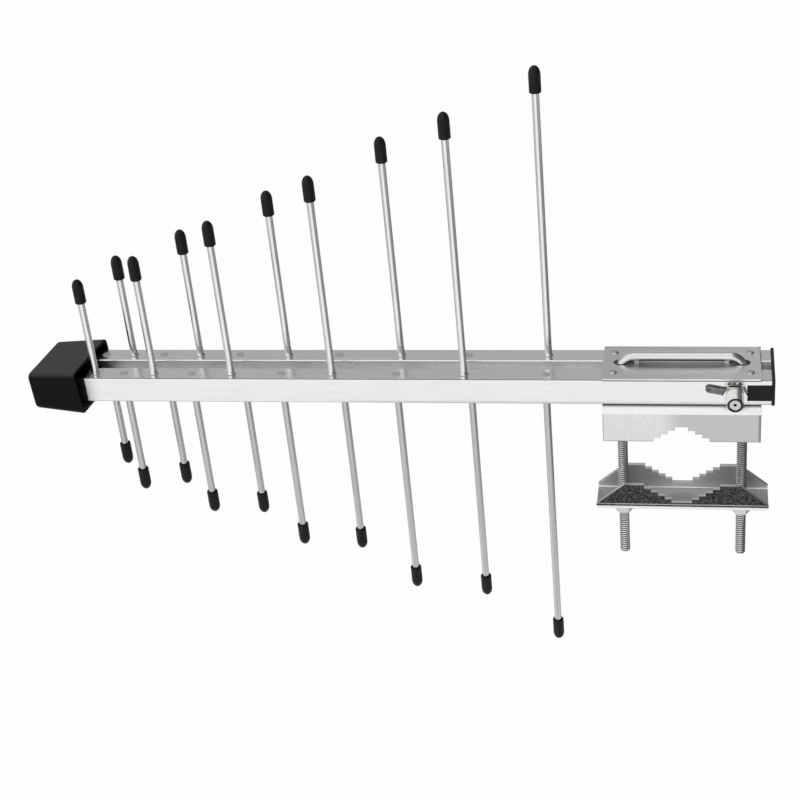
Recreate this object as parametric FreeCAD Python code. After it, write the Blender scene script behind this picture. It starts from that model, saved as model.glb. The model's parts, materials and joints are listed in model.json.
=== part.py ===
"""Log-periodic television antenna with a toothed U-bolt clamp.

Two square tubes run side by side and feed ten dipoles. Each dipole is one rod
up on one tube and one rod down on the other, and the sides swap from dipole to
dipole. A moulded cap closes the front, where the feed crosses over, and a
moulded plug closes the rear. The clamp at the rear has a round grip that lies
across the tubes.

Frame: the origin is on the axis of the grip, at the middle of the clamp.
+X runs along the tubes towards the clamp end, +Y goes across them, from the
near tube to the far one, and +Z follows the rods towards the top plate.
Lengths are in millimetres and angles in degrees.
"""

import FreeCAD, Part
import math
import os

V = FreeCAD.Vector

# Boom tubes
boom_width = 13.0
boom_height = 16.0
boom_wall = 1.2
boom_corner = 0.8
boom_pitch = 22.0
boom_rear_margin = 5.4
boom_nose = 15.0

# Dipoles, from the shortest at the front to the longest
first_dipole_x = -347.0
dipole_gaps = [17.6, 18.9, 23.1, 24.6, 30.2, 30.9, 37.8, 40.1, 47.1]
dipole_reaches = [71.2, 75.4, 86.0, 91.8, 107.7, 115.5, 134.1, 146.8, 169.3, 185.2]
rod_radius = 2.1
rod_hole_clearance = 0.05
collar_radius = 2.7
collar_height = 0.9
peen_radius = 2.6
peen_height = 0.3

# Rod end caps
tip_length = 15.0
tip_radius = 3.35
tip_nose = 5.0
tip_end_wall = 2.0
tip_nose_steps = 3
tip_clearance = 0.05

# Front cap
cap_rear_gap = 2.2
cap_length = 33.0
cap_turn = -8.0
cap_dip = -3.0
cap_rim_width = 46.6
cap_rim_height = 28.0
cap_nose_width = 43.0
cap_nose_height = 24.4
cap_corner = 4.0
cap_nose_round = 3.0
cap_lip = 2.0
cap_lip_depth = 2.2
cap_step = 1.2
cap_step_depth = 2.6
cap_boom_clearance = 0.3
cap_chamber_length = 7.0
cap_chamber_width = 30.0
cap_chamber_height = 14.0

# Rear plug
plug_plate = 1.8
plug_overhang = 1.0
plug_depth = 8.0
plug_clearance = 0.15
plug_window_length = 13.4
plug_window_height = 10.3
plug_spacer_width = 5.0
plug_spacer_height = 8.0
plug_spacer_depth = 1.6

# Clamp: grip, top plate and U-bolt
grip_radius = 25.0
plate_length = 89.0
plate_width = 37.0
plate_sheet = 1.6
plate_corner = 1.0
plate_window_margin = 20.5
plate_window_width = 9.4
plate_slot_margin = 6.1
plate_slot_length = 12.0
plate_slot_width = 6.8
rivet_margin = 6.2
rivet_radius = 1.6
rivet_head_radius = 2.4
rivet_head_height = 0.9
rivet_tail = 1.0
rivet_tail_radius = 2.0
bolt_bar_radius = 2.65
bolt_radius = 3.0
bolt_margin = 10.0
bolt_bend = 8.0
bolt_rise = 1.5
bolt_thread_length = 97.0
bolt_tip_z = -71.6
bolt_tip_chamfer = 0.9
bolt_hole_clearance = 0.3

# Upper bracket and lower jaw, both folded from sheet with toothed walls
sheet = 2.5
bracket_width = 38.0
bracket_height = 24.0
bracket_bend = 6.0
bracket_notch_flat = 7.4
bracket_teeth = 4
tooth_run = 4.0
tooth_rise = 2.45
jaw_width = 24.0
jaw_height = 18.4
jaw_bend = 3.6
jaw_overhang = 5.7
jaw_top_margin = 10.7
jaw_end_height = 4.5
jaw_foot_cut = 4.5
jaw_foot_rise = 2.2
jaw_notch_flat = 12.0
jaw_teeth = 5

# Flange nuts
nut_flange_radius = 7.4
nut_flange_height = 1.4
nut_flat_width = 10.0
nut_height = 6.4
nut_bore_clearance = 0.05

# Aerial socket on the near tube
socket_setback = 20.2
socket_radius = 4.76
socket_length = 13.5
socket_bore_radius = 3.1
socket_flange_flat = 12.2
socket_flange_height = 2.2
shank_radius = 3.9
shank_clearance = 0.1
shank_tail = 0.9
socket_nut_flat = 11.0
socket_nut_height = 2.5
contact_radius = 0.7
core_setback = 0.6
contact_setback = 3.1
contact_tail = 3.4
washer_radius = 6.9
washer_root_radius = 5.7
washer_teeth = 12
washer_sheet = 0.7
tag_sheet = 0.8
tag_ring_radius = 6.3
tag_reach = 16.6
tag_width = 4.2
tag_hole_radius = 0.9
tag_angle = 168.0

# Feed cable inside the near tube
cable_radius = 1.2
cable_side_gap = 0.3
core_radius = 0.4
core_bend = 2.0
core_tight_bend = 0.6
cable_nose = 1.5
cable_socket_gap = 3.0
lug_width = 6.0
lug_sheet = 0.8
lug_height = 9.0

# Cutters run past the faces they cut by this much
overrun = 1.0

# Places worked out from the sizes above
bracket_halves = [bracket_notch_flat / 2 + k * tooth_run for k in range(bracket_teeth)]
bracket_foot_z = max(
    math.sqrt(grip_radius ** 2 - half ** 2) - (bracket_teeth - 1 - k) * tooth_rise
    for k, half in enumerate(bracket_halves)
)
jaw_halves = [jaw_notch_flat / 2 + k * tooth_run for k in range(jaw_teeth)]
jaw_notch_z = -max(
    math.sqrt(grip_radius ** 2 - half ** 2) + (k + 1) * tooth_rise
    for k, half in enumerate(jaw_halves)
)
jaw_top_z = jaw_notch_z + jaw_teeth * tooth_rise
jaw_base_z = jaw_top_z - jaw_height

boom_base_z = bracket_foot_z + bracket_height
boom_z = boom_base_z + boom_height / 2
boom_top_z = boom_base_z + boom_height
plate_top_z = boom_top_z + plate_sheet
near_y = -boom_pitch / 2
far_y = boom_pitch / 2
near_face_y = near_y - boom_width / 2
boom_front_x = first_dipole_x - boom_nose
boom_rear_x = plate_length / 2 + boom_rear_margin
socket_x = boom_rear_x - socket_setback

dipole_x = [first_dipole_x + sum(dipole_gaps[:k]) for k in range(len(dipole_gaps) + 1)]
cap_rim_x = first_dipole_x - collar_radius - cap_rear_gap
cap_nose_x = cap_rim_x - cap_length
cap_middle_x = cap_rim_x - cap_length / 2
leg_x = plate_length / 2 - bolt_margin
rivet_x = plate_length / 2 - rivet_margin
jaw_end_x = plate_length / 2 + jaw_overhang
jaw_top_x = plate_length / 2 - jaw_top_margin
crossbar_z = plate_top_z + bolt_rise + bolt_bar_radius
bolt_thread_z = bolt_tip_z + bolt_thread_length
cable_y = near_y + boom_width / 2 - boom_wall - cable_side_gap - cable_radius
cable_z = boom_base_z + boom_wall + cable_radius


def save(node, shape):
    """Write one named piece to its STEP file."""
    os.makedirs("parts", exist_ok=True)
    shape.exportStep("parts/" + node + ".step")


def box(x, y, z):
    """Box between the low and high ends of each (low, high) pair."""
    size = [high - low for low, high in (x, y, z)]
    return Part.makeBox(size[0], size[1], size[2], V(x[0], y[0], z[0]))


def cylinder(radius, start, direction, length):
    """Round bar from a start point along a direction."""
    return Part.makeCylinder(radius, length, start, direction)


def revolve(points, centre, axis):
    """Turn an outline of (radius, height) points about an axis through centre."""
    corners = [V(radius, 0, height) for radius, height in points]
    outline = Part.makePolygon(corners + corners[:1])
    solid = Part.Face(outline).revolve(V(0, 0, 0), V(0, 0, 1), 360)
    solid.Placement = FreeCAD.Placement(centre, FreeCAD.Rotation(V(0, 0, 1), axis))
    return solid


def prism(points, normal, length):
    """Extrude a closed outline of points along a normal."""
    outline = Part.makePolygon(points + points[:1])
    return Part.Face(outline).extrude(normal * length)


def hexagon(flat_width, start, axis, length):
    """Hexagonal bar of a given width across flats."""
    corner = flat_width / math.sqrt(3)
    points = [
        V(corner * math.cos(math.radians(60 * k)), corner * math.sin(math.radians(60 * k)), 0)
        for k in range(6)
    ]
    solid = prism(points, V(0, 0, 1), length)
    solid.Placement = FreeCAD.Placement(start, FreeCAD.Rotation(V(0, 0, 1), axis))
    return solid


def edges_along(shape, axis):
    """Straight edges that run along one axis vector."""
    found = []
    for edge in shape.Edges:
        if isinstance(edge.Curve, Part.Line) and abs(edge.tangentAt(edge.FirstParameter).dot(axis)) > 0.999:
            found.append(edge)
    return found


def bent_wire(radius, bend, points):
    """Round wire through points, with an arc of radius bend at each inner point."""
    parts = []
    start = points[0]
    for before, corner, after in zip(points, points[1:], points[2:]):
        inward = (corner - before).normalize()
        outward = (after - corner).normalize()
        turn = inward.getAngle(outward)
        trim = bend * math.tan(turn / 2)
        arc_start = corner - inward * trim
        normal = inward.cross(outward).normalize()
        centre = arc_start + normal.cross(inward) * bend
        parts.append(cylinder(radius, start, inward, (arc_start - start).Length))
        disc = Part.Face(Part.Wire(Part.makeCircle(radius, arc_start, inward)))
        parts.append(disc.revolve(centre, normal, math.degrees(turn)))
        start = corner + outward * trim
    last = points[-1] - start
    parts.append(cylinder(radius, start, last.normalize(), (points[-1] - start).Length))
    return parts[0].fuse(parts[1:]).removeSplitter()


def boom(centre_y):
    """Square tube with a pair of holes for every rod."""
    half_width = boom_width / 2
    ends = (boom_front_x, boom_rear_x)
    outside = box(
        ends,
        (centre_y - half_width, centre_y + half_width),
        (boom_base_z, boom_top_z),
    )
    outside = outside.makeFillet(boom_corner, edges_along(outside, V(1, 0, 0)))
    inside = box(
        ends,
        (centre_y - half_width + boom_wall, centre_y + half_width - boom_wall),
        (boom_base_z + boom_wall, boom_top_z - boom_wall),
    )
    holes = [
        cylinder(
            rod_radius + rod_hole_clearance,
            V(x, centre_y, boom_base_z - overrun),
            V(0, 0, 1),
            boom_height + 2 * overrun,
        )
        for x in dipole_x
    ]
    rivets = [
        cylinder(rivet_radius, V(x, centre_y, boom_z), V(0, 0, 1), boom_height)
        for x in (-rivet_x, rivet_x)
    ]
    return outside.cut([inside] + holes + rivets)


def near_boom():
    """Near tube, with the socket's hole and the rear plug's side window."""
    socket_hole = cylinder(
        shank_radius + shank_clearance, socket_point(overrun), V(0, 1, 0), boom_wall + 2 * overrun
    )
    window = box(
        (boom_rear_x - plug_window_length, boom_rear_x + overrun),
        (near_face_y - overrun, near_face_y + boom_wall),
        (boom_z - plug_window_height / 2, boom_z + plug_window_height / 2),
    )
    return boom(near_y).cut([socket_hole, window])


def rod(x, y, up, reach):
    """Solid rod with a flared collar where it enters and a peened head beyond."""
    way = 1 if up else -1
    entry = boom_height / 2
    end = reach - tip_end_wall
    profile = [
        (0, -entry - peen_height),
        (rod_radius, -entry - peen_height),
        (peen_radius, -entry),
        (rod_radius, -entry),
        (rod_radius, entry),
        (collar_radius, entry),
        (rod_radius, entry + collar_height),
        (rod_radius, end),
        (0, end),
    ]
    return revolve(profile, V(x, y, boom_z), V(0, 0, way))


def rod_tip(x, y, up, reach):
    """Bullet-shaped cap, pressed over a rod's end."""
    way = 1 if up else -1
    bore = rod_radius + tip_clearance
    mouth_z = reach - tip_length
    floor_z = reach - tip_end_wall
    profile = [(0, floor_z), (bore, floor_z), (bore, mouth_z), (tip_radius, mouth_z)]
    for step in range(tip_nose_steps + 1):
        angle = math.pi / 2 * step / tip_nose_steps
        profile.append((tip_radius * math.cos(angle), reach - tip_nose * (1 - math.sin(angle))))
    return revolve(profile, V(x, y, boom_z), V(0, 0, way))


def mouth_cut(inset, start_x, depth, corner):
    """Cutter for one step of the cap's mouth, a constant inset inside the rim."""
    half_y = cap_rim_width / 2 - inset
    half_z = cap_rim_height / 2 - inset
    cutter = box(
        (start_x - depth, start_x + overrun),
        (-half_y, half_y),
        (boom_z - half_z, boom_z + half_z),
    )
    return cutter.makeFillet(corner, edges_along(cutter, V(1, 0, 0)))


def front_cap():
    """Drafted moulded cap: rounded nose, stepped mouth, tube pocket and feed chamber.

    The cap sits a little askew, so its outside and its mouth are turned and dip
    towards the nose, and the pocket is square to the tubes.
    """
    shell = Part.makeWedge(
        -cap_rim_width / 2, 0, -cap_rim_height / 2, -cap_nose_height / 2, -cap_nose_width / 2,
        cap_rim_width / 2, cap_length, cap_rim_height / 2, cap_nose_height / 2, cap_nose_width / 2,
    )
    shell.rotate(V(0, 0, 0), V(0, 0, 1), 90)
    shell.translate(V(cap_rim_x, 0, boom_z))
    lengthwise = [edge for edge in shell.Edges if edge.BoundBox.XLength > cap_length / 2]
    shell = shell.makeFillet(cap_corner, lengthwise)
    nose_edges = [edge for edge in shell.Edges if edge.BoundBox.XMax < cap_nose_x + cap_nose_round / 10]
    shell = shell.makeFillet(cap_nose_round, nose_edges)
    lip = mouth_cut(cap_lip, cap_rim_x, cap_lip_depth, cap_corner - cap_lip / 2)
    step = mouth_cut(
        cap_lip + cap_step, cap_rim_x - cap_lip_depth, cap_step_depth, cap_corner - cap_lip / 2 - cap_step
    )
    shell = shell.cut([lip, step])
    middle = V(cap_middle_x, 0, boom_z)
    shell.rotate(middle, V(0, 1, 0), cap_dip)
    shell.rotate(middle, V(0, 0, 1), cap_turn)
    half_y = boom_pitch / 2 + boom_width / 2 + cap_boom_clearance
    half_z = boom_height / 2 + cap_boom_clearance
    pocket = box(
        (boom_front_x - cap_boom_clearance - lug_sheet, cap_rim_x + cap_rim_width / 2),
        (-half_y, half_y),
        (boom_z - half_z, boom_z + half_z),
    )
    chamber = box(
        (boom_front_x - cap_chamber_length, boom_front_x),
        (-cap_chamber_width / 2, cap_chamber_width / 2),
        (boom_z - cap_chamber_height / 2, boom_z + cap_chamber_height / 2),
    )
    return shell.cut([pocket, chamber])


def rear_plug():
    """Moulded end plate with a plug in each tube and a spacer between them."""
    half_y = boom_pitch / 2 + boom_width / 2 + plug_overhang
    plate = box(
        (boom_rear_x, boom_rear_x + plug_plate),
        (-half_y, half_y),
        (boom_base_z, boom_top_z + plug_overhang),
    )
    plate = plate.makeFillet(plug_overhang, edges_along(plate, V(1, 0, 0)))
    inner_y = boom_width / 2 - boom_wall - plug_clearance
    inner_z = boom_height / 2 - boom_wall - plug_clearance
    pieces = []
    for centre_y in (near_y, far_y):
        pieces.append(box(
            (boom_rear_x - plug_depth, boom_rear_x),
            (centre_y - inner_y, centre_y + inner_y),
            (boom_z - inner_z, boom_z + inner_z),
        ))
    window_z = plug_window_height / 2 - plug_clearance
    pieces.append(box(
        (boom_rear_x - plug_window_length + plug_clearance, boom_rear_x),
        (near_face_y, near_y),
        (boom_z - window_z, boom_z + window_z),
    ))
    pieces.append(box(
        (boom_rear_x - plug_spacer_depth, boom_rear_x),
        (-plug_spacer_width / 2, plug_spacer_width / 2),
        (boom_z - plug_spacer_height / 2, boom_z + plug_spacer_height / 2),
    ))
    return plate.fuse(pieces).removeSplitter()


def slot(centre_x, length, width, low_z, high_z):
    """Cutter for a round-ended slot that runs along the tubes."""
    half = length / 2 - width / 2
    middle = box((centre_x - half, centre_x + half), (-width / 2, width / 2), (low_z, high_z))
    ends = [
        cylinder(width / 2, V(centre_x + side * half, 0, low_z), V(0, 0, 1), high_z - low_z)
        for side in (-1, 1)
    ]
    return middle.fuse(ends)


def top_plate():
    """Flat plate on both tubes, with a window, two bolt slots and four rivet holes."""
    plate = box(
        (-plate_length / 2, plate_length / 2),
        (-plate_width / 2, plate_width / 2),
        (boom_top_z, plate_top_z),
    )
    plate = plate.makeFillet(plate_corner, edges_along(plate, V(0, 0, 1)))
    window = box(
        (-plate_length / 2 + plate_window_margin, plate_length / 2 - plate_window_margin),
        (-plate_window_width / 2, plate_window_width / 2),
        (boom_top_z - overrun, plate_top_z + overrun),
    )
    cuts = [window]
    for side in (-1, 1):
        centre_x = side * (plate_length / 2 - plate_slot_margin - plate_slot_length / 2)
        cuts.append(slot(
            centre_x, plate_slot_length, plate_slot_width, boom_top_z - overrun, plate_top_z + overrun
        ))
        for centre_y in (near_y, far_y):
            cuts.append(cylinder(
                rivet_radius,
                V(side * rivet_x, centre_y, boom_top_z - overrun),
                V(0, 0, 1),
                plate_sheet + 2 * overrun,
            ))
    return plate.cut(cuts)


def plate_rivets():
    """Four domed rivets that hold the top plate on the tubes."""
    profile = [
        (0, -boom_wall - plate_sheet - rivet_tail),
        (rivet_tail_radius, -boom_wall - plate_sheet - rivet_tail),
        (rivet_tail_radius, -boom_wall - plate_sheet),
        (rivet_radius, -boom_wall - plate_sheet),
        (rivet_radius, 0),
        (rivet_head_radius, 0),
        (rivet_head_radius * 0.6, rivet_head_height),
        (0, rivet_head_height),
    ]
    rivets = []
    for x in (-rivet_x, rivet_x):
        for centre_y in (near_y, far_y):
            rivets.append(revolve(profile, V(x, centre_y, plate_top_z), V(0, 0, 1)))
    return Part.makeCompound(rivets)


def u_bolt():
    """Round bar bent into a U, its two legs thicker where the thread is rolled."""
    bar = bent_wire(bolt_bar_radius, bolt_bend, [
        V(-leg_x, 0, bolt_thread_z),
        V(-leg_x, 0, crossbar_z),
        V(leg_x, 0, crossbar_z),
        V(leg_x, 0, bolt_thread_z),
    ])
    profile = [
        (0, bolt_tip_z),
        (bolt_radius - bolt_tip_chamfer, bolt_tip_z),
        (bolt_radius, bolt_tip_z + bolt_tip_chamfer),
        (bolt_radius, bolt_thread_z - bolt_radius + bolt_bar_radius),
        (bolt_bar_radius, bolt_thread_z),
        (0, bolt_thread_z),
    ]
    legs = [revolve(profile, V(side * leg_x, 0, 0), V(0, 0, 1)) for side in (-1, 1)]
    return bar.fuse(legs).removeSplitter()


def channel(width, height, bend, length, base_z, way):
    """Folded channel along X: base at base_z, walls towards +Z or -Z as way says."""
    half = width / 2
    inner = bend - sheet
    lift = math.sqrt(0.5)

    def at(y, up):
        return V(-length / 2, y, base_z + way * up)

    def arc(centre_y, radius, start_y, start_up, end_y, end_up):
        side = -1 if centre_y < 0 else 1
        middle = at(centre_y + side * radius * lift, bend - radius * lift)
        return Part.Arc(at(start_y, start_up), middle, at(end_y, end_up)).toShape()

    edges = [
        Part.makeLine(at(-half, height), at(-half, bend)),
        arc(-half + bend, bend, -half, bend, -half + bend, 0),
        Part.makeLine(at(-half + bend, 0), at(half - bend, 0)),
        arc(half - bend, bend, half - bend, 0, half, bend),
        Part.makeLine(at(half, bend), at(half, height)),
        Part.makeLine(at(half, height), at(half - sheet, height)),
        Part.makeLine(at(half - sheet, height), at(half - sheet, bend)),
        arc(half - bend, inner, half - sheet, bend, half - bend, sheet),
        Part.makeLine(at(half - bend, sheet), at(-half + bend, sheet)),
        arc(-half + bend, inner, -half + bend, sheet, -half + sheet, bend),
        Part.makeLine(at(-half + sheet, bend), at(-half + sheet, height)),
        Part.makeLine(at(-half + sheet, height), at(-half, height)),
    ]
    return Part.Face(Part.Wire(edges)).extrude(V(length, 0, 0))


def toothed_notch(halves, edge_z, way):
    """Points of a stepped notch in a wall edge, cut towards way, from left to right."""
    depth = len(halves) * tooth_rise
    right = [(halves[0], edge_z + way * depth)]
    for k, half in enumerate(halves):
        step_z = edge_z + way * (depth - (k + 1) * tooth_rise)
        right.append((half, step_z))
        if k + 1 < len(halves):
            right.append((halves[k + 1], step_z))
    left = [(-x, z) for x, z in reversed(right)]
    return left + right


def bolt_holes(low_z, high_z):
    """Cutters for the two round holes that the U-bolt's legs pass through."""
    return [
        cylinder(bolt_radius + bolt_hole_clearance, V(side * leg_x, 0, low_z), V(0, 0, 1), high_z - low_z)
        for side in (-1, 1)
    ]


def upper_bracket():
    """Channel under the tubes whose walls reach down and end in a toothed notch."""
    body = channel(bracket_width, bracket_height, bracket_bend, plate_length, boom_base_z, -1)
    depth = bracket_width + 2 * overrun
    notch = toothed_notch(bracket_halves, bracket_foot_z, 1)
    low = bracket_foot_z - overrun
    outline = [V(notch[0][0], -depth / 2, low)]
    outline += [V(x, -depth / 2, z) for x, z in notch]
    outline.append(V(notch[-1][0], -depth / 2, low))
    cutter = prism(outline, V(0, 1, 0), depth)
    return body.cut([cutter] + bolt_holes(boom_base_z - sheet - overrun, boom_base_z + overrun))


def lower_jaw():
    """Channel below the grip: walls slant down to the ends and hold a toothed notch."""
    body = channel(jaw_width, jaw_height, jaw_bend, 2 * jaw_end_x, jaw_base_z, 1)
    depth = jaw_width + 2 * overrun
    right = [
        (jaw_top_x, jaw_top_z),
        (jaw_end_x, jaw_base_z + jaw_end_height),
        (jaw_end_x, jaw_base_z + jaw_foot_rise),
        (jaw_end_x - jaw_foot_cut, jaw_base_z),
    ]
    left = [(-x, z) for x, z in reversed(right)]
    points = left + toothed_notch(jaw_halves, jaw_top_z, -1) + right
    outline = [V(x, -depth / 2, z) for x, z in points]
    body = body.common(prism(outline, V(0, 1, 0), depth))
    return body.cut(bolt_holes(jaw_base_z - overrun, jaw_base_z + sheet + overrun))


def clamp_nuts():
    """Two flange nuts that press the jaw up along the bolt's legs."""
    nuts = []
    for side in (-1, 1):
        centre = V(side * leg_x, 0, jaw_base_z)
        body = hexagon(nut_flat_width, centre, V(0, 0, -1), nut_height)
        flange = revolve(
            [
                (0, 0),
                (nut_flange_radius, 0),
                (nut_flange_radius, nut_flange_height * 0.5),
                (nut_flat_width / 2, nut_flange_height * 2),
                (0, nut_flange_height * 2),
            ],
            centre,
            V(0, 0, -1),
        )
        bore = cylinder(
            bolt_radius + nut_bore_clearance,
            centre + V(0, 0, overrun),
            V(0, 0, -1),
            nut_height + 2 * overrun,
        )
        nuts.append(body.fuse(flange).cut(bore))
    return Part.makeCompound(nuts)


def socket_places():
    """Distances out from the near tube's face: washer, tag, flange and mouth."""
    tag = washer_sheet
    flange = tag + tag_sheet
    barrel = flange + socket_flange_height
    return tag, flange, barrel


def socket_point(out):
    """Point on the socket's axis, a distance out from the tube's face."""
    return V(socket_x, near_face_y - out, boom_z)


def socket_body():
    """Barrel with a hexagonal flange outside and a shank through the tube's wall."""
    flange_out = socket_places()[1]
    outward = V(0, -1, 0)
    tail = boom_wall + socket_nut_height + shank_tail
    barrel = cylinder(socket_radius, socket_point(flange_out), outward, socket_length - flange_out)
    flange = hexagon(socket_flange_flat, socket_point(flange_out), outward, socket_flange_height)
    shank = cylinder(shank_radius, socket_point(-tail), outward, tail + flange_out)
    bore = cylinder(
        socket_bore_radius, socket_point(-tail - overrun), outward, tail + socket_length + 2 * overrun
    )
    return barrel.fuse([flange, shank]).removeSplitter().cut(bore)


def socket_insulator():
    """Plastic core with a small hole for the plug's pin."""
    tail = boom_wall + socket_nut_height + shank_tail
    outward = V(0, -1, 0)
    core = cylinder(socket_bore_radius, socket_point(-tail), outward, tail + socket_length - core_setback)
    hole = cylinder(contact_radius, socket_point(-tail - overrun), outward, tail + socket_length + 2 * overrun)
    return core.cut(hole)


def socket_contact():
    """Spring contact in the core, with a tail for the cable's inner wire."""
    tail = boom_wall + socket_nut_height + shank_tail + contact_tail
    length = tail + socket_length - contact_setback
    return cylinder(contact_radius, socket_point(-tail), V(0, -1, 0), length)


def socket_nut():
    """Hexagonal nut on the shank, inside the tube."""
    start = socket_point(-boom_wall)
    body = hexagon(socket_nut_flat, start, V(0, 1, 0), socket_nut_height)
    hole = cylinder(
        shank_radius, start - V(0, overrun, 0), V(0, 1, 0), socket_nut_height + 2 * overrun
    )
    return body.cut(hole)


def star_washer():
    """Toothed lock washer against the tube."""
    points = []
    for k in range(2 * washer_teeth):
        radius = washer_radius if k % 2 else washer_root_radius
        angle = math.pi * k / washer_teeth
        points.append(V(socket_x + radius * math.cos(angle), near_face_y, boom_z + radius * math.sin(angle)))
    ring = prism(points, V(0, -1, 0), washer_sheet)
    return ring.cut(cylinder(
        shank_radius, socket_point(-overrun), V(0, -1, 0), washer_sheet + 2 * overrun
    ))


def ground_tag():
    """Earth tag: a ring under the flange with a drilled strap."""
    tag_out = socket_places()[0]
    outward = V(0, -1, 0)
    ring = cylinder(tag_ring_radius, socket_point(tag_out), outward, tag_sheet)
    strap = box(
        (socket_x, socket_x + tag_reach - tag_width / 2),
        (near_face_y - tag_out - tag_sheet, near_face_y - tag_out),
        (boom_z - tag_width / 2, boom_z + tag_width / 2),
    )
    end = socket_point(tag_out) + V(tag_reach - tag_width / 2, 0, 0)
    tongue = strap.fuse(cylinder(tag_width / 2, end, outward, tag_sheet))
    tongue = tongue.cut(cylinder(
        tag_hole_radius, end + V(0, overrun, 0), outward, tag_sheet + 2 * overrun
    ))
    tongue.rotate(socket_point(0), V(0, -1, 0), tag_angle)
    hole = cylinder(shank_radius, socket_point(tag_out - overrun), outward, tag_sheet + 2 * overrun)
    return ring.fuse(tongue).removeSplitter().cut(hole)


def feed_cable():
    """Thin coaxial cable on the near tube's floor, its inner wire bare at both ends."""
    front = V(boom_front_x - cable_nose, cable_y, cable_z)
    rear_x = socket_x - cable_socket_gap
    rear = V(rear_x, cable_y, cable_z)
    jacket = cylinder(cable_radius, front, V(1, 0, 0), rear_x - front.x)
    lug_x = boom_front_x - lug_sheet
    cross_x = front.x - 2 * core_bend
    front_core = bent_wire(core_radius, core_bend, [
        front + V(core_bend, 0, 0),
        V(cross_x, cable_y, cable_z),
        V(cross_x, far_y - boom_width / 2 + boom_wall / 2, cable_z),
        V(lug_x, far_y - boom_width / 2 + boom_wall / 2, cable_z),
    ])
    contact_foot = boom_z - contact_radius
    rear_core = bent_wire(core_radius, core_tight_bend, [
        rear - V(core_bend, 0, 0),
        V(socket_x, cable_y, cable_z),
        V(socket_x, cable_y, contact_foot),
    ])
    return jacket.fuse([front_core, rear_core]).removeSplitter()


def feed_lug():
    """Strip on the far tube's front end, where the inner wire is soldered."""
    return box(
        (boom_front_x - lug_sheet, boom_front_x),
        (far_y - boom_width / 2, far_y - boom_width / 2 + lug_width),
        (boom_base_z, boom_base_z + lug_height),
    )


save("boom_near", near_boom())
save("boom_far", boom(far_y))

for number, (x, reach) in enumerate(zip(dipole_x, dipole_reaches), start=1):
    upper_y = near_y if number % 2 else far_y
    for word, y, up in (("up", upper_y, True), ("down", -upper_y, False)):
        label = "%02d_%s" % (number, word)
        save("rod_" + label, rod(x, y, up, reach))
        save("tip_" + label, rod_tip(x, y, up, reach))

save("front_cap", front_cap())
save("rear_plug", rear_plug())
save("top_plate", top_plate())
save("plate_rivets", plate_rivets())
save("u_bolt", u_bolt())
save("upper_bracket", upper_bracket())
save("lower_jaw", lower_jaw())
save("clamp_nuts", clamp_nuts())
save("socket_body", socket_body())
save("socket_insulator", socket_insulator())
save("socket_contact", socket_contact())
save("socket_nut", socket_nut())
save("star_washer", star_washer())
save("ground_tag", ground_tag())
save("feed_cable", feed_cable())
save("feed_lug", feed_lug())
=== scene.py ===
"""Looks of a log-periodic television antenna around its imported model.

Everything is in metres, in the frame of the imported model: +X runs along the
booms towards the clamp end, +Y goes across them and +Z follows the rods. The
camera stands in front of the booms, above them, at the photograph's angle.
"""

import json
import logging
import math
from collections.abc import Iterable, Iterator
from contextlib import contextmanager
from dataclasses import dataclass, field
from enum import Enum

import bpy
from mathutils import Euler, Matrix, Vector

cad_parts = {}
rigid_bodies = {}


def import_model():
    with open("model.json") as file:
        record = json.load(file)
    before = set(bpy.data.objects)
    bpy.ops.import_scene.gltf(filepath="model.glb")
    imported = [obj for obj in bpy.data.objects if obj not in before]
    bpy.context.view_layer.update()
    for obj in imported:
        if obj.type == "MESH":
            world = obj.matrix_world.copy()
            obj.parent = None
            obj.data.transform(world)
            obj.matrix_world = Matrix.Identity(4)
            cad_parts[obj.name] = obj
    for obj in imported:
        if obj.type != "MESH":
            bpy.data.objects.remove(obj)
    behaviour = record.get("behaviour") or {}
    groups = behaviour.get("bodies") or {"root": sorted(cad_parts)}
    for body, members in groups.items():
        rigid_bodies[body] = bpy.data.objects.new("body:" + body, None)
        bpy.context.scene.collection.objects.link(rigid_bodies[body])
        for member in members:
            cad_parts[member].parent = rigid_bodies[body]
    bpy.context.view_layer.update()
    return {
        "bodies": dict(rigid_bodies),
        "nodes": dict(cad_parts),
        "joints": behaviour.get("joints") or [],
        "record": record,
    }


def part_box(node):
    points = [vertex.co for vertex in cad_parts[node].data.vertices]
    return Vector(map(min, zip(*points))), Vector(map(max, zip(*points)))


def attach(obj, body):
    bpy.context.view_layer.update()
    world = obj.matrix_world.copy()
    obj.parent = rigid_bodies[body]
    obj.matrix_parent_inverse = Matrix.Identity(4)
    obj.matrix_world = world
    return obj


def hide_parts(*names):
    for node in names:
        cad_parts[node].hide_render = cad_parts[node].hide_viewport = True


log = logging.getLogger("antenna")
MM = 0.001
Point = tuple[float, float, float]
Band = tuple[float, float]
Ramp = tuple[Band, float, float]
Socket = bpy.types.NodeSocket
Piece = bpy.types.Object
Color = Point | Socket
# A band is the start and the end of a soft step, and a ramp adds the results at both.
# FACING is how much of a face's direction lies along an axis when it counts as facing that way.
FACING: Band = (0.7, 0.9)
WHOLE: Band = (0.0, 1.0)


def grey(value: float) -> Point:
    """Return a plain grey."""
    return (value, value, value)


class Way(Enum):
    """Direction along Z."""

    UP = 1
    DOWN = -1


class Grain(Enum):
    """Axis along which a surface's fine lines run."""

    ALONG_X = (0.02, 1.0, 1.0)
    ALONG_Z = (1.0, 1.0, 0.02)
    NONE = (1.0, 1.0, 1.0)


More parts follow.
